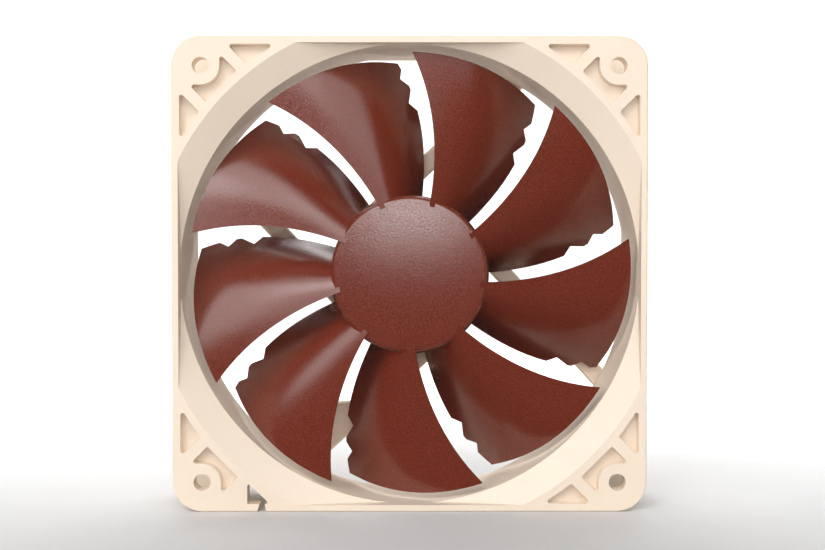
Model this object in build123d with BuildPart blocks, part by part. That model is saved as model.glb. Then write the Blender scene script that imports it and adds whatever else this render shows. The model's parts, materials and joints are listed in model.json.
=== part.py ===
from build123d import *
import os
from math import atan2, cos, degrees, hypot, radians, sin, sqrt

# A 120 mm case fan: moulded frame, nine-blade impeller and the brushless motor between them.
#
# Millimetres. The fan stands upright with its axis along Y: the intake side faces -Y and the origin is the
# centre of the fan. Depths are counted from the front (intake) face, so depth 0 is y = -12.5 and depth 25 is
# y = +12.5. Flat profiles are drawn as seen from the front, with X to the right and Z up, and angles run
# counter-clockwise in that view, which is also the way the impeller turns.

TOLERANCE = 0.01
OVERCUT = 1.0  # how far a cutting or trimming solid runs past the face that it goes through

# ---- frame -------------------------------------------------------------------------------------
SIDE = 120.0  # square outline
DEPTH = 25.0
HALF = DEPTH / 2
SCREW_SPACING = 105.0
SCREW_HOLE_R = 2.15
CORNER_R = (SIDE - SCREW_SPACING) / 2  # the outline's corners are concentric with the screw holes
FLANGE = 4.0
EDGE_ROUND = 0.5
BORE_R = 58.6
FLAT_HALF = 58.3  # the air path is cut off flat along the four sides
DUCT_WALL = 1.7
BELL_R = 64.9  # where the intake bell-mouth meets the front face
BELL_DEPTH = 3.4
FLARE_R = 64.0  # where the exhaust flare meets the rear face
FLARE_DEPTH = 4.4

# corner pockets, in the corner's own frame: u runs along the diagonal, v across it
POCKET_DEPTH = 2.2
POCKET_INNER_R = 66.8
POCKET_MID_V = 5.5
POCKET_SIDE_V = 8.4
POCKET_EDGE = 57.9
POCKET_ROUND = 0.6
BOSS_R = 4.75
POCKET_DRAFT = 4.0

# cable clip: a three-cornered hole with a snap-in slit through the outer edge, at the lower left
CLIP_CORNERS = ((-41.1, -52.4), (-41.1, -58.0), (-35.3, -58.0))
CLIP_SLIT = ((-37.9, -57.5), (-38.7, -60.5), (-36.2, -60.5), (-36.8, -57.5))
CLIP_ROUND = 0.45
REAR_NOTCH = ((-44.6, -60.5), (-44.6, -56.8), (-41.1, -52.4), (-36.2, -57.1), (-36.2, -60.5))

# struts that carry the motor: straight, and set off the axis so that they leave the base at a tangent
STRUT_ANGLES = (42.6, 132.6, 222.6, 312.6)  # direction of each strut's foot, seen from the axis
CABLE_STRUT = 312.6
STRUT_INNER = 16.3
STRUT_OUTER = 21.2
STRUT_FRONT = 21.8
STRUT_REACH_R = 65.5
STRUT_ROUND = 0.8
PAD_INNER = 12.0  # the cable strut widens to this near the frame
PAD_START = 34.0
PAD_SLOPE = 5.5
CHANNEL_WIDTH = 3.0
CHANNEL_DEPTH = 2.2

# ---- motor base, part of the frame -------------------------------------------------------------
BASE_R = 21.2
BASE_FRONT = 20.9
BASE_WALL = 1.4
BASE_FLOOR = 23.2
BASE_BOSS_R = 6.4
BOARD_SEAT = 20.4
LABEL_R = 19.0
LABEL_RECESS = 0.35
LABEL_THICKNESS = 0.15
LABEL_GAP = 0.1

# ---- impeller ----------------------------------------------------------------------------------
BLADES = 9
HUB_R = 20.3
HUB_FRONT = 1.2  # top of the slightly domed cap
HUB_REAR = 19.9
CAP_R = 19.2
CAP_DOME = 0.6
CAP_ROUND = 0.3
SHOULDER_DEPTH = 4.4
SHOULDER_BULGE = 0.25
HUB_TOP = 1.9
HUB_WALL = 1.4
TIP_R = 56.6
ROOT_R = 18.1
BLADE_REAR = 20.2
BLADE_FRONT_HUB = 2.0
BLADE_FRONT_TIP = 3.6
BLADE_LEAD = 0.25  # slope of the leading edge against the chord's
BLADE_CURL = 2.9  # how sharply the blade curls down towards its trailing edge
BLADE_EDGE = 0.95
BLADE_MIDDLE = 1.9
BLADE_TIP_THINNING = 0.25
LEADING_SWEEP = (34.7, 0.313, 0.00246)  # angle at the hub, then degrees per mm and per mm squared
TRAILING_SWEEP = (0.5, 0.1605, 0.00526)
SKIN_OVERHANG = 0.12  # how far the blade skins run past the outline, as a share of the chord
SKIN_INNER_R = 16.6
SKIN_OUTER_R = 58.6
SKIN_ROWS = 10
SKIN_COLUMNS = 15
EDGE_POINTS = 7  # points of the splines along a blade's edges
NOTCH_STARTS = ((42.0, 48.8), (40.8, 47.6), (43.9, 50.5))  # radii, one pair for every third blade
NOTCH_LENGTHS = (5.6, 4.4)
NOTCH_STEP = 1.6
NOTCH_DEPTH = 2.45
NOTCH_ROUND = 0.45
NOTCH_OVERSHOOT = 0.5  # how far a notch's sides run past the trailing edge, as a share of their length

# ---- rotor inside the hub ----------------------------------------------------------------------
YOKE_R = HUB_R - HUB_WALL
YOKE_WALL = 0.8
YOKE_FRONT = HUB_FRONT + HUB_TOP
YOKE_REAR = 17.5
MAGNET_R = YOKE_R - YOKE_WALL
MAGNET_WALL = 1.8
MAGNET_FRONT = 6.4
MAGNET_REAR = 17.0
SHAFT_R = 1.5
SHAFT_REAR = 22.85
SHAFT_DOME = 1.2
GROOVE_R = 1.05
BUSH_R = 3.2
BUSH_REAR = 7.0
SLINGER_R = 3.5
SLINGER_FRONT = 7.2
SLINGER_REAR = 7.6

# ---- bearing -----------------------------------------------------------------------------------
HOUSING_R = 5.0
HOUSING_BORE_R = 4.0
HOUSING_FRONT = 7.9
HOUSING_REAR = 24.0
RUNNING_GAP = 0.03
SEAL_FRONT = 8.1
SEAL_REAR = 9.0
SEAL_BORE_R = 1.9
SLEEVE_FRONT = 9.2
SLEEVE_REAR = 19.0
SLEEVE_CHAMFER = 0.4
CLIP_FRONT = 19.5
CLIP_REAR = 20.0
CLIP_R = 2.6
BEARING_MAGNET_FRONT = 20.6
BEARING_MAGNET_REAR = 22.4
BEARING_MAGNET_BORE_R = 2.1
THRUST_FRONT = 22.9
THRUST_REAR = 23.5
CAP_REAR = DEPTH - LABEL_RECESS

# ---- stator ------------------------------------------------------------------------------------
POLES = 4
CORE_FRONT = 9.0
LAMINATIONS = 10
LAMINATION_PITCH = 0.5
LAMINATION = 0.46  # the rest of the pitch is varnish
CORE_REAR = CORE_FRONT + LAMINATION_PITCH * LAMINATIONS
CORE_MIDDLE = (CORE_FRONT + CORE_REAR) / 2
CORE_R = 15.7
CORE_RING_R = 7.4
NECK_WIDTH = 3.2
NECK_OVERLAP = 2.0
SHOE_NECK_R = 13.2
SHOE_TIP_R = 14.7
SHOE_HALF_ANGLE = 38.0
INSULATION = 0.5
INSULATOR_WALL = 0.6
INSULATOR_R = CORE_R - 0.6
INSULATOR_HALF_ANGLE = 28.0
INSULATOR_FRONT = 5.7
INSULATOR_REAR = 17.3
COIL_IN = 8.3
COIL_OUT = 12.4
COIL_BUILD = 2.2
COIL_ROUND = 1.5
COIL_TURNS = 9
TURN_ROUND = 0.45  # of a turn's width
COLLAR_R = COIL_IN - 0.1
PIN_ANGLES = (45.0, 135.0, 225.0)
PIN_CIRCLE_R = 10.6
PIN_R = 0.35
PIN_FRONT = 16.0
PIN_REAR = 21.1
POST_R = 1.1
POST_ARM = 1.4

# ---- circuit board -----------------------------------------------------------------------------
BOARD_R = 17.4
BOARD_THICKNESS = 1.0
BOARD_FRONT = BOARD_SEAT - BOARD_THICKNESS
SOLDER_R = 0.9
SOLDER_SLOPE = 40.0
DRIVER_SIZE = (4.9, 3.9)
DRIVER_HEIGHT = 1.5
DRIVER_PLACE = (-10.4, 0.0)
HALL_SIZE = (3.0, 1.6)
HALL_HEIGHT = 1.1
HALL_PLACE = (0.0, 15.6)
LEG_WIDTH = 0.4
LEG_HEIGHT = 0.35
LEG_LENGTH = 1.0
LEG_PITCH = 1.27
DRIVER_LEGS = 4  # on each side
HALL_LEGS = 2
CHIP_SIZE = (2.0, 1.25)
CHIP_HEIGHT = 0.6
BLOCK_CHAMFER = 0.15  # of a block's height
CAPACITOR_PLACES = ((10.0, 2.2), (10.0, -2.2))
RESISTOR_PLACES = ((-2.4, -11.0), (2.4, -11.0), (6.6, -10.2))


def at_depth(depth):
    """The drawing plane at that depth, seen from the front. A negative extrusion goes deeper."""
    return Plane.XZ.offset(HALF - depth)


def polar(radius, angle):
    """A point of a drawing plane."""
    return (radius * cos(radians(angle)), radius * sin(radians(angle)))


def space(radius, angle, depth):
    """A point of the model from its radius, its angle seen from the front and its depth."""
    x, z = polar(radius, angle)
    return Vector(x, depth - HALF, z)


def ring(outer, inner, front, rear):
    """A plain ring, or a disc where inner is 0, about the fan's axis."""
    with BuildPart() as part:
        with BuildSketch(at_depth(front)):
            Circle(outer)
            if inner:
                Circle(inner, mode=Mode.SUBTRACT)
        extrude(amount=front - rear)
    return part


def turned(*corners):
    """A solid turned about the fan's axis from (radius, depth) corners."""
    with BuildPart() as part:
        with BuildSketch(Plane.XY):
            with BuildLine():
                Polyline(*[(radius, depth - HALF) for radius, depth in corners], close=True)
            make_face()
        revolve(axis=Axis.Y)
    return part


# ---- frame -------------------------------------------------------------------------------------


def make_air_path():
    """What is cut out of the block for the air: bell-mouth, bore and flare, cut off flat at the sides."""
    with BuildPart() as path:
        with BuildSketch(Plane.XY):
            with BuildLine():
                Polyline(
                    (0, -HALF - OVERCUT),
                    (BELL_R, -HALF - OVERCUT),
                    (BELL_R, -HALF),
                    (BORE_R, BELL_DEPTH - HALF),
                    (BORE_R, HALF - FLARE_DEPTH),
                    (FLARE_R, HALF),
                    (FLARE_R, HALF + OVERCUT),
                    (0, HALF + OVERCUT),
                    close=True,
                )
            make_face()
        revolve(axis=Axis.Y)
        with BuildSketch(at_depth(-OVERCUT)):
            Rectangle(2 * FLAT_HALF, 2 * FLAT_HALF)
        extrude(amount=-DEPTH - 2 * OVERCUT, mode=Mode.INTERSECT)
    return path


def corner_point(u, v):
    """A point given along (u) and across (v) the diagonal of the upper right corner."""
    return ((u + v) / sqrt(2), (u - v) / sqrt(2))


def make_middle_pocket():
    """The pocket between a screw boss and the bell-mouth, in the upper right corner."""
    screw = SCREW_SPACING / 2
    near = screw - BOSS_R
    tip = near + POCKET_MID_V * sqrt(2)
    with BuildSketch(Plane.XY) as pocket:
        with BuildLine():
            boss = ThreePointArc((screw, near), polar_from(screw, BOSS_R, 225), (near, screw))
            Polyline(
                boss @ 1,
                (near, tip),
                corner_point(POCKET_INNER_R, -POCKET_MID_V),
                corner_point(POCKET_INNER_R, POCKET_MID_V),
                (tip, near),
                boss @ 0,
            )
        make_face()
        # every corner but the two at the ends of the boss's arc
        boss_reach = hypot(near, screw)
        sharp = [v for v in pocket.vertices() if abs(hypot(v.X, v.Y) - boss_reach) > TOLERANCE]
        fillet(sharp, POCKET_ROUND)
    return pocket.sketch


def polar_from(centre, radius, angle):
    """A point at that angle on a circle about (centre, centre)."""
    return (centre + radius * cos(radians(angle)), centre + radius * sin(radians(angle)))


def make_side_pocket():
    """The three-cornered pocket right of the middle one, in the upper right corner."""
    low = sqrt(POCKET_INNER_R**2 - POCKET_EDGE**2)
    high = POCKET_EDGE - POCKET_SIDE_V * sqrt(2)
    apex = corner_point(sqrt(POCKET_INNER_R**2 - POCKET_SIDE_V**2), POCKET_SIDE_V)
    middle = polar(POCKET_INNER_R, (degrees(atan2(low, POCKET_EDGE)) + degrees(atan2(apex[1], apex[0]))) / 2)
    with BuildSketch(Plane.XY) as pocket:
        with BuildLine():
            rim = ThreePointArc((POCKET_EDGE, low), middle, apex)
            Polyline(rim @ 1, (POCKET_EDGE, high), rim @ 0)
        make_face()
        fillet(pocket.vertices(), POCKET_ROUND)
    return pocket.sketch


def make_pockets():
    """All the pockets of one flange. The cable clip takes the place of the last one, at the lower left."""
    middle, side = make_middle_pocket(), make_side_pocket()
    with BuildSketch(Plane.XY) as pockets:
        for turn in range(4):
            add(middle.rotate(Axis.Z, 90 * turn))
            add(side.rotate(Axis.Z, 90 * turn))
            if turn != 2:
                add(side.mirror(Plane.YZ.rotated((0, 0, -45))).rotate(Axis.Z, 90 * turn))
    return pockets.sketch


def make_cable_clip():
    """The outline of the cable clip's hole and its slit."""
    with BuildSketch(Plane.XY) as hole:
        with BuildLine():
            Polyline(*CLIP_CORNERS, close=True)
        make_face()
        fillet(hole.vertices(), CLIP_ROUND)
    with BuildSketch(Plane.XY) as clip:
        add(hole.sketch)
        with BuildLine():
            Polyline(*CLIP_SLIT, close=True)
        make_face()
    return clip.sketch


def strut_point(foot_angle, along, aside):
    """A point along a strut from its foot, aside being its distance from the fan's axis."""
    foot, way = polar(aside, foot_angle), polar(along, foot_angle - 90)
    return (foot[0] + way[0], foot[1] + way[1])


def make_struts():
    """Four struts with rounded edges, the cable strut widening towards the frame."""
    with BuildPart() as struts:
        for angle in STRUT_ANGLES:
            with BuildSketch(at_depth(STRUT_FRONT)):
                with BuildLine():
                    corners = [(0, STRUT_OUTER), (STRUT_REACH_R, STRUT_OUTER)]
                    if angle == CABLE_STRUT:
                        corners += [(STRUT_REACH_R, PAD_INNER), (PAD_START + PAD_SLOPE, PAD_INNER)]
                        corners += [(PAD_START, STRUT_INNER), (0, STRUT_INNER)]
                    else:
                        corners += [(STRUT_REACH_R, STRUT_INNER), (0, STRUT_INNER)]
                    Polyline(*[strut_point(angle, *corner) for corner in corners], close=True)
                make_face()
            extrude(amount=STRUT_FRONT - DEPTH)
        front_edges = struts.faces().sort_by(Axis.Y)[:4].edges()
        fillet(front_edges, STRUT_ROUND)
        with BuildSketch(at_depth(STRUT_FRONT - OVERCUT)):
            Circle(STRUT_REACH_R)
        extrude(amount=STRUT_FRONT - DEPTH - 2 * OVERCUT, mode=Mode.INTERSECT)
    return struts


def make_frame():
    """Both flanges, the duct, the struts and the motor base, moulded in one piece."""
    struts = make_struts()
    with BuildPart() as frame:
        with BuildSketch(at_depth(0)):
            RectangleRounded(SIDE, SIDE, CORNER_R)
        extrude(amount=-DEPTH)
        rims = frame.edges().filter_by_position(Axis.Y, -HALF, -HALF)
        rims += frame.edges().filter_by_position(Axis.Y, HALF, HALF)
        fillet(rims, EDGE_ROUND)
        # the corners are open between the flanges
        with BuildSketch(at_depth(FLANGE)):
            Rectangle(SIDE + OVERCUT, SIDE + OVERCUT)
            Circle(BORE_R + DUCT_WALL, mode=Mode.SUBTRACT)
        extrude(amount=2 * FLANGE - DEPTH, mode=Mode.SUBTRACT)
        add(make_air_path().part, mode=Mode.SUBTRACT)
        add(struts.part)
        # pockets in both flanges, the rear ones mirrored to stand behind the front ones
        pockets = make_pockets()
        with BuildSketch(at_depth(0)):
            add(pockets)
        extrude(amount=-POCKET_DEPTH, taper=POCKET_DRAFT, mode=Mode.SUBTRACT)
        with BuildSketch(at_depth(DEPTH)):
            add(pockets)
        extrude(amount=POCKET_DEPTH, taper=POCKET_DRAFT, mode=Mode.SUBTRACT)
        with BuildSketch(at_depth(0)):
            with GridLocations(SCREW_SPACING, SCREW_SPACING, 2, 2):
                Circle(SCREW_HOLE_R)
        extrude(amount=-DEPTH, mode=Mode.SUBTRACT)
        # the cable's way: a clip in the front flange and a plain notch in the rear one
        with BuildSketch(at_depth(0)):
            add(make_cable_clip())
        extrude(amount=-HALF, mode=Mode.SUBTRACT)
        with BuildSketch(at_depth(DEPTH)):
            with BuildLine():
                Polyline(*REAR_NOTCH, close=True)
            make_face()
        extrude(amount=HALF, mode=Mode.SUBTRACT)
        # motor base
        with BuildSketch(at_depth(BASE_FRONT)):
            Circle(BASE_R)
        extrude(amount=BASE_FRONT - DEPTH)
        with BuildSketch(at_depth(BASE_FRONT)):
            Circle(BASE_R - BASE_WALL)
        extrude(amount=BASE_FRONT - BASE_FLOOR, mode=Mode.SUBTRACT)
        with BuildSketch(at_depth(BOARD_SEAT)):
            Circle(BASE_BOSS_R)
        extrude(amount=BOARD_SEAT - DEPTH)
        with BuildSketch(at_depth(BOARD_SEAT)):
            Circle(HOUSING_R)
        extrude(amount=BOARD_SEAT - DEPTH, mode=Mode.SUBTRACT)
        with BuildSketch(at_depth(DEPTH)):
            Circle(LABEL_R)
        extrude(amount=LABEL_RECESS, mode=Mode.SUBTRACT)
        # channel in the back of the cable strut, from the motor base to the cable clip
        clip_centre = tuple(sum(corner[i] for corner in CLIP_CORNERS) / 3 for i in (0, 1))
        strut_middle = (STRUT_INNER + STRUT_OUTER) / 2
        with BuildSketch(at_depth(DEPTH)):
            with BuildLine():
                Polyline(
                    strut_point(CABLE_STRUT, 0, strut_middle),
                    strut_point(CABLE_STRUT, PAD_START + PAD_SLOPE, strut_middle),
                    clip_centre,
                )
            trace(line_width=CHANNEL_WIDTH)
        extrude(amount=CHANNEL_DEPTH, mode=Mode.SUBTRACT)
    return frame


# ---- impeller ----------------------------------------------------------------------------------


def evenly(first, last, count):
    """That many values, evenly spaced from the first to the last."""
    return [first + i * (last - first) / (count - 1) for i in range(count)]


def swept(law, radius):
    """Angle of a swept edge at that radius."""
    at_hub, rate, growth = law
    out = radius - HUB_R
    return at_hub + rate * out + growth * out**2


def leading_angle(radius):
    """Angle of a blade's leading edge at that radius."""
    return swept(LEADING_SWEEP, radius)


def trailing_angle(radius):
    """Angle of a blade's trailing edge at that radius, before the notches are cut."""
    return swept(TRAILING_SWEEP, radius)


def blade_skin(side):
    """One face of a blade as a spline surface: side is -1 for the front (suction) face, 1 for the rear."""
    radii = evenly(SKIN_INNER_R, SKIN_OUTER_R, SKIN_ROWS)
    chords = evenly(-SKIN_OVERHANG, 1 + SKIN_OVERHANG, SKIN_COLUMNS)
    rows = []
    for radius in radii:
        share = (radius - HUB_R) / (TIP_R - HUB_R)
        front = BLADE_FRONT_HUB + (BLADE_FRONT_TIP - BLADE_FRONT_HUB) * share
        rise = BLADE_REAR - front
        sweep = leading_angle(radius) - trailing_angle(radius)
        row = []
        for chord in chords:
            inside = min(max(chord, 0), 1)
            curl = (1 - BLADE_LEAD) * inside ** (BLADE_CURL - 1)
            depth = front + rise * (BLADE_LEAD * chord + curl * chord)
            slope = rise * (BLADE_LEAD + BLADE_CURL * curl) / (radians(sweep) * radius)
            thickness = BLADE_EDGE + (BLADE_MIDDLE - BLADE_EDGE) * 4 * inside * (1 - inside)
            thickness *= 1 - BLADE_TIP_THINNING * share
            axial_half = thickness / 2 * sqrt(1 + slope**2)
            row.append(space(radius, leading_angle(radius) - sweep * chord, depth + side * axial_half))
        rows.append(row)
    return Face.make_surface_from_array_of_points(rows, tol=TOLERANCE)


def make_blade_outline(notch_starts):
    """A blade seen from the front: swept edges, round tip and the two notches in the trailing edge."""
    stations = evenly(ROOT_R, TIP_R, EDGE_POINTS)
    middle = [(leading_angle(r) + trailing_angle(r)) / 2 for r in (ROOT_R, TIP_R)]
    with BuildSketch(Plane.XY) as outline:
        with BuildLine():
            leading = Spline(*[polar(r, leading_angle(r)) for r in stations])
            trailing = Spline(*[polar(r, trailing_angle(r)) for r in stations])
            ThreePointArc(leading @ 1, polar(TIP_R, middle[1]), trailing @ 1)
            ThreePointArc(leading @ 0, polar(ROOT_R, middle[0]), trailing @ 0)
        make_face()
        for start, length in zip(notch_starts, NOTCH_LENGTHS):
            # a three-cornered bite: its two open corners lie off the blade
            lip = Vector(*polar(start, trailing_angle(start)))
            bottom = start + NOTCH_STEP
            deep = Vector(*polar(bottom, trailing_angle(start) + degrees(NOTCH_DEPTH / bottom)))
            end = Vector(*polar(start + length, trailing_angle(start + length)))
            with BuildLine():
                Polyline(
                    lip + (lip - deep) * NOTCH_OVERSHOOT,
                    deep,
                    end + (end - deep) * NOTCH_OVERSHOOT,
                    close=True,
                )
            make_face(mode=Mode.SUBTRACT)
        corners = [v for v in outline.vertices() if HUB_R < hypot(v.X, v.Y) < TIP_R - TOLERANCE]
        fillet(corners, NOTCH_ROUND)
    return outline.sketch


def make_blade(notch_starts):
    """One blade, at angle 0, its root reaching into the hub."""
    with BuildPart() as blade:
        with BuildSketch(at_depth(0)):
            add(make_blade_outline(notch_starts))
        extrude(amount=-BLADE_REAR)
        extrude(blade_skin(-1), amount=DEPTH, dir=(0, 1, 0), mode=Mode.INTERSECT)
        extrude(blade_skin(1), amount=DEPTH, dir=(0, -1, 0), mode=Mode.INTERSECT)
    return blade


def make_hub():
    """The hub before it is hollowed: a slightly domed cap and a rounded shoulder on a cylinder."""
    rim = (CAP_R, HUB_FRONT + CAP_DOME - HALF)
    shoulder = (HUB_R, SHOULDER_DEPTH - HALF)
    centre = (0, HUB_FRONT - HALF)
    half_way_out = (CAP_R / 2, HUB_FRONT + CAP_DOME / 4 - HALF)
    half_way_down = ((CAP_R + HUB_R) / 2 + SHOULDER_BULGE, (rim[1] + shoulder[1]) / 2)
    with BuildPart() as hub:
        with BuildSketch(Plane.XY):
            with BuildLine():
                ThreePointArc(centre, half_way_out, rim)
                ThreePointArc(rim, half_way_down, shoulder)
                Polyline(shoulder, (HUB_R, HUB_REAR - HALF), (0, HUB_REAR - HALF), centre)
            make_face()
        revolve(axis=Axis.Y)
        cap_edge = hub.edges().filter_by(lambda edge: edge.is_closed).sort_by(Axis.Y)[0]
        fillet(cap_edge, CAP_ROUND)
    return hub


def make_impeller():
    """The hub cup and its nine blades, moulded in one piece. Every third blade has the same notches."""
    blades = [make_blade(starts).part for starts in NOTCH_STARTS]
    with BuildPart() as impeller:
        add(make_hub().part)
        for i in range(BLADES):
            add(blades[i % len(blades)].rotate(Axis.Y, -360 * i / BLADES))
        with BuildSketch(at_depth(YOKE_FRONT)):
            Circle(YOKE_R)
        extrude(amount=YOKE_FRONT - DEPTH, mode=Mode.SUBTRACT)
    return impeller


# ---- rotor -------------------------------------------------------------------------------------


def make_rotor_yoke():
    """The steel cup inside the hub that closes the magnet's field, with a hole for the bush."""
    return turned(
        (BUSH_R, YOKE_FRONT),
        (YOKE_R, YOKE_FRONT),
        (YOKE_R, YOKE_REAR),
        (MAGNET_R, YOKE_REAR),
        (MAGNET_R, YOKE_FRONT + YOKE_WALL),
        (BUSH_R, YOKE_FRONT + YOKE_WALL),
    )


def make_shaft():
    """The ground steel shaft, with a groove for its clip and a domed end."""
    with BuildPart() as shaft:
        with BuildSketch(at_depth(YOKE_FRONT)):
            Circle(SHAFT_R)
        extrude(amount=YOKE_FRONT - SHAFT_REAR)
        fillet(shaft.faces().sort_by(Axis.Y)[-1].edges(), SHAFT_DOME)
        with BuildSketch(at_depth(CLIP_FRONT)):
            Circle(2 * SHAFT_R)
            Circle(GROOVE_R, mode=Mode.SUBTRACT)
        extrude(amount=CLIP_FRONT - CLIP_REAR, mode=Mode.SUBTRACT)
    return shaft


def make_retaining_clip():
    """The split washer that keeps the shaft in its bearing."""
    with BuildPart() as clip:
        with BuildSketch(at_depth(CLIP_FRONT)):
            Circle(CLIP_R)
            Circle(GROOVE_R, mode=Mode.SUBTRACT)
            with Locations((CLIP_R, 0)):
                Rectangle(2 * CLIP_R, GROOVE_R, mode=Mode.SUBTRACT)
        extrude(amount=CLIP_FRONT - CLIP_REAR)
    return clip


# ---- bearing -----------------------------------------------------------------------------------


def make_bearing_sleeve():
    """The sintered sleeve that the shaft runs in, chamfered at both ends."""
    with BuildPart() as sleeve:
        add(ring(HOUSING_BORE_R, SHAFT_R + RUNNING_GAP, SLEEVE_FRONT, SLEEVE_REAR).part)
        outer = sleeve.faces().filter_by(GeomType.CYLINDER).sort_by(SortBy.AREA)[-1]
        chamfer(outer.edges().filter_by(GeomType.CIRCLE), SLEEVE_CHAMFER)
    return sleeve


def make_bearing_cap():
    """The plug that closes the bearing tube behind the thrust pad."""
    return turned(
        (0, THRUST_REAR),
        (HOUSING_BORE_R, THRUST_REAR),
        (HOUSING_BORE_R, HOUSING_REAR),
        (HOUSING_R, HOUSING_REAR),
        (HOUSING_R, CAP_REAR),
        (0, CAP_REAR),
    )


# ---- stator ------------------------------------------------------------------------------------


def make_sector(outer_r, tip_r, middle_r, half_angle, angle):
    """A curved bar about the axis: round outside, its inner side thickening towards the middle."""
    around = [angle + way * half_angle for way in (-1, 0, 1)]
    with BuildSketch(Plane.XY) as sector:
        with BuildLine():
            outer = ThreePointArc(*[polar(outer_r, direction) for direction in around])
            ends = (polar(tip_r, around[0]), polar(tip_r, around[2]))
            inner = ThreePointArc(ends[0], polar(middle_r, angle), ends[1])
            Line(outer @ 0, inner @ 0)
            Line(outer @ 1, inner @ 1)
        make_face()
    return sector.sketch


def make_core_profile():
    """One lamination: a ring with four necks and curved pole shoes."""
    with BuildSketch(Plane.XY) as profile:
        Circle(CORE_RING_R)
        with PolarLocations((CORE_RING_R + SHOE_NECK_R) / 2, POLES):
            Rectangle(SHOE_NECK_R - CORE_RING_R + NECK_OVERLAP, NECK_WIDTH)
        for i in range(POLES):
            add(make_sector(CORE_R, SHOE_TIP_R, SHOE_NECK_R, SHOE_HALF_ANGLE, 360 / POLES * i))
        Circle(HOUSING_R, mode=Mode.SUBTRACT)
    return profile.sketch


def make_stator_core():
    """The stack of laminations, each a sheet of its own."""
    with BuildPart() as core:
        with BuildSketch(*[at_depth(CORE_FRONT + i * LAMINATION_PITCH) for i in range(LAMINATIONS)]):
            add(make_core_profile())
        extrude(amount=-LAMINATION)
    return core


def make_insulator(face, edge):
    """Half of the winding former, from the core's face to its edge. It wraps half-way round the necks."""
    outward = 1 if edge > face else -1
    with BuildPart() as insulator:
        # plates on the core's ring and poles
        with BuildSketch(at_depth(face)):
            Circle(COLLAR_R)
            with PolarLocations((CORE_RING_R + INSULATOR_R - INSULATOR_WALL) / 2, POLES):
                Rectangle(INSULATOR_R - CORE_RING_R, NECK_WIDTH + 2 * INSULATION)
        extrude(amount=-outward * INSULATION)
        # collar inside the coils and walls outside them
        with BuildSketch(at_depth(face)):
            Circle(COLLAR_R)
            Circle(COLLAR_R - INSULATOR_WALL, mode=Mode.SUBTRACT)
            inner = INSULATOR_R - INSULATOR_WALL
            for i in range(POLES):
                add(make_sector(INSULATOR_R, inner, inner, INSULATOR_HALF_ANGLE, 360 / POLES * i))
        extrude(amount=face - edge)
        # half of the sleeves round the necks
        with BuildSketch(at_depth(face)):
            with PolarLocations((CORE_RING_R + COIL_OUT) / 2, POLES):
                Rectangle(COIL_OUT - CORE_RING_R, NECK_WIDTH + 2 * INSULATION)
        extrude(amount=face - CORE_MIDDLE)
        with BuildSketch(at_depth(CORE_FRONT)):
            add(make_core_profile())
        extrude(amount=CORE_FRONT - CORE_REAR, mode=Mode.SUBTRACT)
        with BuildSketch(at_depth(0)):
            Circle(HOUSING_R)
        extrude(amount=-DEPTH, mode=Mode.SUBTRACT)
    return insulator


def make_rear_insulator():
    """The rear half of the former, with three posts that stand on the circuit board and hold the pins."""
    with BuildPart() as insulator:
        add(make_insulator(CORE_REAR, INSULATOR_REAR).part)
        for angle in PIN_ANGLES:
            post = polar(PIN_CIRCLE_R, angle)
            with BuildSketch(at_depth(CORE_REAR)):
                with BuildLine():
                    Line(polar(COLLAR_R - INSULATOR_WALL / 2, angle), post)
                trace(line_width=2 * POST_R)
                with Locations(post):
                    Circle(POST_R)
            extrude(amount=-POST_ARM)
            with BuildSketch(at_depth(CORE_REAR)):
                with Locations(post):
                    Circle(POST_R)
            extrude(amount=CORE_REAR - BOARD_FRONT)
        with BuildSketch(at_depth(PIN_FRONT)):
            with Locations(*[polar(PIN_CIRCLE_R, angle) for angle in PIN_ANGLES]):
                Circle(PIN_R)
        extrude(amount=PIN_FRONT - BOARD_FRONT, mode=Mode.SUBTRACT)
    return insulator


def make_coil():
    """The winding of the pole at angle 0: turns side by side along the neck."""
    pitch = (COIL_OUT - COIL_IN) / COIL_TURNS
    around = 2 * INSULATION + NECK_WIDTH
    along = 2 * INSULATION + CORE_REAR - CORE_FRONT
    middle = CORE_MIDDLE - HALF
    with BuildPart() as coil:
        for i in range(COIL_TURNS):
            with BuildPart(mode=Mode.PRIVATE) as turn:
                with BuildSketch(Plane.YZ.offset(COIL_IN + i * pitch)):
                    with Locations((middle, 0)):
                        RectangleRounded(along + 2 * COIL_BUILD, around + 2 * COIL_BUILD, COIL_ROUND)
                extrude(amount=pitch)
                fillet(turn.faces().filter_by(Axis.X).edges(), pitch * TURN_ROUND)
            add(turn.part)
        with BuildSketch(Plane.YZ):
            with Locations((middle, 0)):
                Rectangle(along, around)
        extrude(amount=CORE_R, mode=Mode.SUBTRACT)
    return coil


def make_terminal_pins():
    """The pins that carry the coil ends through the board."""
    with BuildPart() as pins:
        with BuildSketch(at_depth(PIN_FRONT)):
            with Locations(*[polar(PIN_CIRCLE_R, angle) for angle in PIN_ANGLES]):
                Circle(PIN_R)
        extrude(amount=PIN_FRONT - PIN_REAR)
    return pins


# ---- circuit board -----------------------------------------------------------------------------


def make_circuit_board():
    """The round board behind the stator, with holes for the bearing tube and the pins."""
    with BuildPart() as board:
        with BuildSketch(at_depth(BOARD_FRONT)):
            Circle(BOARD_R)
            Circle(HOUSING_R, mode=Mode.SUBTRACT)
            with Locations(*[polar(PIN_CIRCLE_R, angle) for angle in PIN_ANGLES]):
                Circle(PIN_R, mode=Mode.SUBTRACT)
        extrude(amount=-BOARD_THICKNESS)
    return board


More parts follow.
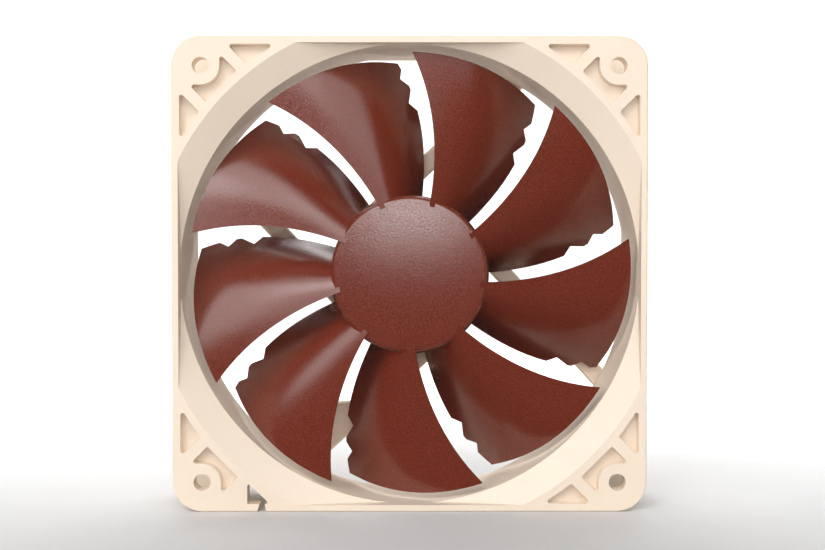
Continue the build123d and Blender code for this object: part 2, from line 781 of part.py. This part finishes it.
def make_solder_joints():
    """Cones of solder round the pins, behind the board."""
    with BuildPart() as joints:
        with BuildSketch(at_depth(BOARD_SEAT)):
            with Locations(*[polar(PIN_CIRCLE_R, angle) for angle in PIN_ANGLES]):
                Circle(SOLDER_R)
        extrude(amount=BOARD_SEAT - PIN_REAR + LEG_HEIGHT, taper=SOLDER_SLOPE)
        with BuildSketch(at_depth(BOARD_SEAT)):
            with Locations(*[polar(PIN_CIRCLE_R, angle) for angle in PIN_ANGLES]):
                Circle(PIN_R)
        extrude(amount=BOARD_SEAT - PIN_REAR, mode=Mode.SUBTRACT)
    return joints


def on_board(size, height, places):
    """Small blocks that stand on the front of the board."""
    with BuildPart() as blocks:
        with BuildSketch(at_depth(BOARD_FRONT)):
            with Locations(*places):
                Rectangle(*size)
        extrude(amount=height)
        chamfer(blocks.faces().sort_by(Axis.Y)[: len(places)].edges(), height * BLOCK_CHAMFER)
    return blocks


def make_chip_legs():
    """The solder legs of the driver chip and of the sensor."""
    driver_reach = DRIVER_SIZE[1] / 2 + LEG_LENGTH / 2
    hall_reach = HALL_SIZE[1] / 2 + LEG_LENGTH / 2
    with BuildPart() as legs:
        with BuildSketch(at_depth(BOARD_FRONT)):
            for side in (-1, 1):
                with Locations((DRIVER_PLACE[0], DRIVER_PLACE[1] + side * driver_reach)):
                    with GridLocations(LEG_PITCH, LEG_LENGTH, DRIVER_LEGS, 1):
                        Rectangle(LEG_WIDTH, LEG_LENGTH)
            with Locations((HALL_PLACE[0], HALL_PLACE[1] - hall_reach)):
                with GridLocations(LEG_PITCH, LEG_LENGTH, HALL_LEGS, 1):
                    Rectangle(LEG_WIDTH, LEG_LENGTH)
        extrude(amount=LEG_HEIGHT)
    return legs


def save(name, builder):
    """Labels one finished piece and writes it."""
    builder.part.label = name
    export_step(builder.part, os.path.join("parts", name + ".step"))


os.makedirs("parts", exist_ok=True)

save("frame", make_frame())
save("impeller", make_impeller())

save("rotor_yoke", make_rotor_yoke())
save("ring_magnet", ring(MAGNET_R, MAGNET_R - MAGNET_WALL, MAGNET_FRONT, MAGNET_REAR))
save("shaft", make_shaft())
save("shaft_bush", ring(BUSH_R, SHAFT_R, YOKE_FRONT, BUSH_REAR))
save("oil_slinger", ring(SLINGER_R, SHAFT_R, SLINGER_FRONT, SLINGER_REAR))
save("retaining_clip", make_retaining_clip())

save("bearing_tube", ring(HOUSING_R, HOUSING_BORE_R, HOUSING_FRONT, HOUSING_REAR))
save("bearing_sleeve", make_bearing_sleeve())
save("oil_seal", ring(HOUSING_BORE_R, SEAL_BORE_R, SEAL_FRONT, SEAL_REAR))
bearing_magnet = ring(HOUSING_BORE_R, BEARING_MAGNET_BORE_R, BEARING_MAGNET_FRONT, BEARING_MAGNET_REAR)
save("bearing_magnet", bearing_magnet)
save("thrust_pad", ring(HOUSING_BORE_R, 0, THRUST_FRONT, THRUST_REAR))
save("bearing_cap", make_bearing_cap())

save("stator_core", make_stator_core())
save("front_insulator", make_insulator(CORE_FRONT, INSULATOR_FRONT))
save("rear_insulator", make_rear_insulator())
winding = make_coil()
for pole, place in enumerate(("right", "top", "left", "bottom")):
    with BuildPart() as coil:
        add(winding.part.rotate(Axis.Y, -360 / POLES * pole))
    save("coil_" + place, coil)
save("terminal_pins", make_terminal_pins())

save("circuit_board", make_circuit_board())
save("solder_joints", make_solder_joints())
save("driver_chip", on_board(DRIVER_SIZE, DRIVER_HEIGHT, [DRIVER_PLACE]))
save("hall_sensor", on_board(HALL_SIZE, HALL_HEIGHT, [HALL_PLACE]))
save("chip_legs", make_chip_legs())
save("chip_capacitors", on_board(CHIP_SIZE, CHIP_HEIGHT, CAPACITOR_PLACES))
save("chip_resistors", on_board(CHIP_SIZE, CHIP_HEIGHT, RESISTOR_PLACES))
label_front = DEPTH - LABEL_RECESS
save("rear_label", ring(LABEL_R - LABEL_GAP, 0, label_front, label_front + LABEL_THICKNESS))
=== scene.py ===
"""Looks of the case fan: procedural materials on its CAD nodes, a round pale studio, lights and camera.

Every visible piece of the fan is its CAD node, so nothing here rides on a body or replaces a node.
Lengths are in metres unless a name ends in mm.
"""

import json
import math

import bpy
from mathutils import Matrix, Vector


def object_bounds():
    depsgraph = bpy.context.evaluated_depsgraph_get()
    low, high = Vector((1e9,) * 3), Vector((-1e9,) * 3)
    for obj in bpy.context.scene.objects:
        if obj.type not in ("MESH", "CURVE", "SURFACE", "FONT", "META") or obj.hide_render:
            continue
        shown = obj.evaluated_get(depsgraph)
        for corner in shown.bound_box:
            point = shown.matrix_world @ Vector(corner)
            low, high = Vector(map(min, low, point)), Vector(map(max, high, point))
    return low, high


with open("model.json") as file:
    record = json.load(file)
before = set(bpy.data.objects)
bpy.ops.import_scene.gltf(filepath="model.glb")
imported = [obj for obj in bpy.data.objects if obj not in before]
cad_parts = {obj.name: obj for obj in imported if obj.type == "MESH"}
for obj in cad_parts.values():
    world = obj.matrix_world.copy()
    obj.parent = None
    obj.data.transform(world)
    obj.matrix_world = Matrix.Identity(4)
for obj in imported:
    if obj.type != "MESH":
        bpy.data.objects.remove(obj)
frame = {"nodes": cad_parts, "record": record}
cad_low, cad_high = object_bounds()

MM = 0.001
FRONT = cad_low.y  # the intake face
BASE = cad_low.z  # what the fan stands on

# The fan's two plastics.
CREAM = (0.86, 0.725, 0.585)
BROWN = (0.158, 0.028, 0.014)

# How colour and gloss wander over a plain surface.
DRIFT_MM = 18.0
GLOSS_MM = 1.3
GLOSS_SPREAD = 0.04

# Wave and brick textures take a scale, not a size.
WIRE_SCALE = 700.0  # wires 0.45 mm apart
WEAVE_SCALE = 900.0

# The round studio. Its floor curves up into the wall, and the fan stands off its middle.
STUDIO_MIDDLE_Y = -1.2
STUDIO_R = 2.8
STUDIO_BEND_R = 0.8
STUDIO_HEIGHT = 2.6
STUDIO_SIDES = 96
STUDIO_BEND_STEPS = 15
PAPER = (0.68, 0.68, 0.68)

# Softboxes in front of the fan: bearing to the right of straight ahead and angle above the
# horizon in degrees, width and height in metres, and power in watts.
SOFTBOX_DISTANCE = 2.4
SOFTBOXES = {
    "key": (-42, 28, (1.94, 1.75), 27.0),
    "top": (-12, 47, (1.47, 1.56), 19.0),
    "right": (27, 37, (1.56, 1.29), 11.0),
    "band": (0, 10, (0.76, 0.42), 8.4),
}
ALL_ROUND = 180  # an area light's full spread, in degrees
AMBIENT = 0.02

# The camera stands close in front, a little above the axis, and looks slightly down and right.
CAMERA_DISTANCE_MM = 260
CAMERA_HEIGHT_MM = 5.54
CAMERA_LENS_MM = 45.08
CAMERA_RIGHT = 0.155  # degrees
CAMERA_DOWN = 1.23  # degrees


# ---- materials ---------------------------------------------------------------------------------


class Nodes:
    """A material's node tree, with its Principled shader and object coordinates in place."""

    def __init__(self, name, roughness, metallic=0.0, specular=0.5):
        self.material = bpy.data.materials.new(name)
        self.material.use_nodes = True
        self.tree = self.material.node_tree
        self.shader = self.tree.nodes["Principled BSDF"]
        self.shader.inputs["Roughness"].default_value = roughness
        self.shader.inputs["Metallic"].default_value = metallic
        self.shader.inputs["Specular IOR Level"].default_value = specular
        self.place = self.tree.nodes.new("ShaderNodeTexCoord").outputs["Object"]

    def node(self, kind, **inputs):
        """A new node, with each named input set to a value or linked to another node's output."""
        made = self.tree.nodes.new(kind)
        for key, value in inputs.items():
            socket = made.inputs[key]
            if isinstance(value, bpy.types.NodeSocket):
                self.tree.links.new(value, socket)
            else:
                socket.default_value = value
        return made

    def noise(self, size_mm, detail=4.0, roughness=0.55):
        """Noise whose lumps are about size_mm across."""
        settings = {"Scale": 1 / (size_mm * MM), "Detail": detail, "Roughness": roughness}
        made = self.node("ShaderNodeTexNoise", Vector=self.place, **settings)
        return made.outputs["Fac"]

    def ramp(self, fac, low, high, start=0.3, end=0.7):
        """A colour ramp between two colours or two greys."""
        made = self.node("ShaderNodeValToRGB", Fac=fac)
        made.color_ramp.elements[0].position = start
        made.color_ramp.elements[1].position = end
        for element, value in zip(made.color_ramp.elements, (low, high)):
            colour = value if isinstance(value, tuple) else (value, value, value)
            element.color = (*colour, 1.0)
        return made.outputs["Color"]

    def link(self, output, name):
        """Links an output to one of the shader's inputs."""
        self.tree.links.new(output, self.shader.inputs[name])

    def bump(self, height, strength, distance_mm):
        """Raises the surface by the height, without changing the mesh."""
        made = self.node("ShaderNodeBump", Height=height, Strength=strength, Distance=distance_mm * MM)
        self.link(made.outputs["Normal"], "Normal")


def shade(colour, factor):
    """The colour made lighter or darker."""
    return tuple(min(channel * factor, 1.0) for channel in colour)


def surface(name, colour, roughness, variation=0.06, grain_mm=0.35, grain_depth_mm=0.02, **shader):
    """A surface with slow colour drift, uneven gloss and a fine grain."""
    nodes = Nodes(name, roughness, **shader)
    darker, lighter = shade(colour, 1 - variation), shade(colour, 1 + variation)
    nodes.link(nodes.ramp(nodes.noise(DRIFT_MM, detail=3.0), darker, lighter), "Base Color")
    gloss = nodes.ramp(nodes.noise(GLOSS_MM), roughness - GLOSS_SPREAD, roughness + GLOSS_SPREAD)
    nodes.link(gloss, "Roughness")
    nodes.bump(nodes.noise(grain_mm, detail=3.0), strength=0.4, distance_mm=grain_depth_mm)
    return nodes.material


def frame_plastic():
    return surface("frame_plastic", CREAM, 0.42, variation=0.015, grain_mm=0.5, grain_depth_mm=0.012)


def impeller_plastic():
    """Reddish brown, with the fine sparkle of a spark-eroded mould."""
    nodes = Nodes("impeller_plastic", 0.21, specular=0.75)
    sparkle = nodes.noise(0.35, detail=1.0, roughness=0.5)
    darker, lighter = shade(BROWN, 0.84), shade(BROWN, 1.16)
    nodes.link(nodes.ramp(sparkle, darker, lighter, start=0.35, end=0.65), "Base Color")
    nodes.link(nodes.ramp(sparkle, 0.15, 0.25, start=0.35, end=0.65), "Roughness")
    nodes.bump(sparkle, strength=1.0, distance_mm=0.03)
    return nodes.material


def enamelled_copper():
    """Windings: fine lines of wire, dark between them."""
    nodes = Nodes("enamelled_copper", 0.28, metallic=0.85)
    settings = {"Scale": WIRE_SCALE, "Distortion": 1.5, "Detail": 2.0}
    wires = nodes.node("ShaderNodeTexWave", Vector=nodes.place, **settings)
    nodes.link(nodes.ramp(wires.outputs["Fac"], (0.30, 0.09, 0.03), (0.72, 0.30, 0.12)), "Base Color")
    nodes.bump(wires.outputs["Fac"], strength=0.5, distance_mm=0.05)
    return nodes.material


def board():
    """Circuit board: a woven laminate."""
    nodes = Nodes("board", 0.45)
    weave = nodes.node("ShaderNodeTexBrick", Vector=nodes.place, Scale=WEAVE_SCALE)
    weave.inputs["Color1"].default_value = (0.46, 0.36, 0.17, 1.0)
    weave.inputs["Color2"].default_value = (0.40, 0.31, 0.14, 1.0)
    weave.inputs["Mortar"].default_value = (0.33, 0.25, 0.11, 1.0)
    nodes.link(weave.outputs["Color"], "Base Color")
    nodes.bump(nodes.noise(0.4), strength=0.2, distance_mm=0.02)
    return nodes.material


def zinc_steel():
    return surface("zinc_steel", (0.55, 0.55, 0.52), 0.34, metallic=1.0, grain_mm=2.0)


def magnet_rubber():
    return surface("magnet_rubber", (0.035, 0.033, 0.031), 0.6, variation=0.2)


def ground_steel():
    return surface("ground_steel", (0.66, 0.66, 0.66), 0.14, variation=0.03, metallic=1.0)


def brass():
    return surface("brass", (0.70, 0.50, 0.20), 0.26, metallic=1.0, grain_mm=1.0)


def nylon():
    return surface("nylon", (0.74, 0.72, 0.66), 0.4, variation=0.03)


def sintered_bronze():
    return surface("sintered_bronze", (0.38, 0.25, 0.12), 0.55, variation=0.25, grain_mm=0.2, metallic=0.9)


def wear_plastic():
    return surface("wear_plastic", (0.02, 0.02, 0.02), 0.3, variation=0.1)


def electrical_steel():
    return surface("electrical_steel", (0.30, 0.31, 0.33), 0.45, variation=0.12, metallic=0.9)


def insulator_plastic():
    return surface("insulator_plastic", (0.70, 0.68, 0.61), 0.4, variation=0.03)


def tinned_metal():
    return surface("tinned_metal", (0.68, 0.68, 0.66), 0.25, variation=0.08, metallic=1.0)


def chip_plastic():
    return surface("chip_plastic", (0.018, 0.018, 0.02), 0.5, variation=0.15)


def chip_ceramic():
    return surface("chip_ceramic", (0.42, 0.28, 0.17), 0.35, variation=0.08)


def label_foil():
    return surface("label_foil", (0.62, 0.62, 0.60), 0.38, variation=0.03, grain_mm=1.2, metallic=0.6)


FINISHES = (
    frame_plastic, impeller_plastic, enamelled_copper, board, zinc_steel, magnet_rubber, ground_steel, brass,
    nylon, sintered_bronze, wear_plastic, electrical_steel, insulator_plastic, tinned_metal, chip_plastic,
    chip_ceramic, label_foil,
)


def dress_cad_nodes():
    """Gives every CAD node the finish that is named like its material slot."""
    made = {finish.__name__: finish() for finish in FINISHES}
    for part in frame["record"]["subparts"]:
        node = frame["nodes"][part["node"]]
        node.data.materials.clear()
        node.data.materials.append(made[part["material_slot"]])


# ---- studio ------------------------------------------------------------------------------------


def studio_profile():
    """Radius and height of each ring of the studio, from the floor up the bend to the wall's top."""
    turns = [math.radians(90 * step / STUDIO_BEND_STEPS) for step in range(STUDIO_BEND_STEPS + 1)]
    flat_r = STUDIO_R - STUDIO_BEND_R
    bend = [(flat_r + STUDIO_BEND_R * math.sin(turn), STUDIO_BEND_R * (1 - math.cos(turn)))
            for turn in turns]
    return bend + [(STUDIO_R, STUDIO_HEIGHT)]


def make_sweep():
    """The studio's floor, bend and wall, in one sheet of pale paper."""
    rings = studio_profile()
    points = [(0.0, STUDIO_MIDDLE_Y, BASE)]
    for radius, height in rings:
        for side in range(STUDIO_SIDES):
            turn = 2 * math.pi * side / STUDIO_SIDES
            x, y = radius * math.cos(turn), radius * math.sin(turn)
            points.append((x, STUDIO_MIDDLE_Y + y, BASE + height))
    faces = [(0, 1 + side, 1 + (side + 1) % STUDIO_SIDES) for side in range(STUDIO_SIDES)]
    for ring in range(len(rings) - 1):
        first = 1 + ring * STUDIO_SIDES
        for side in range(STUDIO_SIDES):
            here, there = first + side, first + (side + 1) % STUDIO_SIDES
            faces.append((here, here + STUDIO_SIDES, there + STUDIO_SIDES, there))
    mesh = bpy.data.meshes.new("sweep")
    mesh.from_pydata(points, [], faces)
    mesh.shade_smooth()
    mesh.materials.append(surface("sweep_paper", PAPER, 0.75, variation=0.01, grain_mm=3.0))
    sweep = bpy.data.objects.new("sweep", mesh)
    bpy.context.scene.collection.objects.link(sweep)
    sweep.visible_glossy = False  # the glossy plastic mirrors the lights, and not the paper


def add_softbox(name, place, target, size, power, spread=ALL_ROUND):
    light = bpy.data.lights.new(name, "AREA")
    light.shape = "RECTANGLE"
    light.size, light.size_y = size
    light.energy = power
    light.spread = math.radians(spread)
    lamp = bpy.data.objects.new(name, light)
    lamp.location = place
    lamp.rotation_mode = "QUATERNION"
    lamp.rotation_quaternion = (Vector(target) - Vector(place)).to_track_quat("-Z", "Y")
    bpy.context.scene.collection.objects.link(lamp)


def softbox_place(bearing, rise):
    """The point at the softboxes' distance from the fan, in the given direction in front of it."""
    across, up = math.radians(bearing), math.radians(rise)
    direction = Vector((math.cos(up) * math.sin(across), -math.cos(up) * math.cos(across), math.sin(up)))
    return SOFTBOX_DISTANCE * direction


def light_scene():
    world = bpy.data.worlds.new("studio")
    world.use_nodes = True
    background = world.node_tree.nodes["Background"]
    background.inputs["Color"].default_value = (1.0, 1.0, 1.0, 1.0)
    background.inputs["Strength"].default_value = AMBIENT
    bpy.context.scene.world = world
    for name, (bearing, rise, size, power) in SOFTBOXES.items():
        add_softbox(name, softbox_place(bearing, rise), (0, 0, 0), size, power)
    # Behind the fan, two lights whiten the floor and the wall, and hardly reach the fan itself.
    add_softbox("floor_wash", (0.0, 0.32, 0.26), (0, 0.30, BASE), (1.8, 0.25), 4.2, spread=100)
    add_softbox("wall_wash", (0.0, 0.4, 1.2), (0, 1.6, 0.75), (2.0, 0.5), 36.0)


def place_camera():
    data = bpy.data.cameras.new("camera")
    data.sensor_width = 36.0
    data.lens = CAMERA_LENS_MM
    data.clip_start, data.clip_end = 0.01, 50.0
    camera = bpy.data.objects.new("camera", data)
    camera.location = (0.0, FRONT - CAMERA_DISTANCE_MM * MM, CAMERA_HEIGHT_MM * MM)
    looks = Vector((math.tan(math.radians(CAMERA_RIGHT)), 1.0, -math.tan(math.radians(CAMERA_DOWN))))
    camera.rotation_mode = "QUATERNION"
    camera.rotation_quaternion = looks.to_track_quat("-Z", "Y")
    bpy.context.scene.collection.objects.link(camera)
    bpy.context.scene.camera = camera


bpy.context.scene.view_settings.view_transform = "Standard"
dress_cad_nodes()
make_sweep()
light_scene()
place_camera()
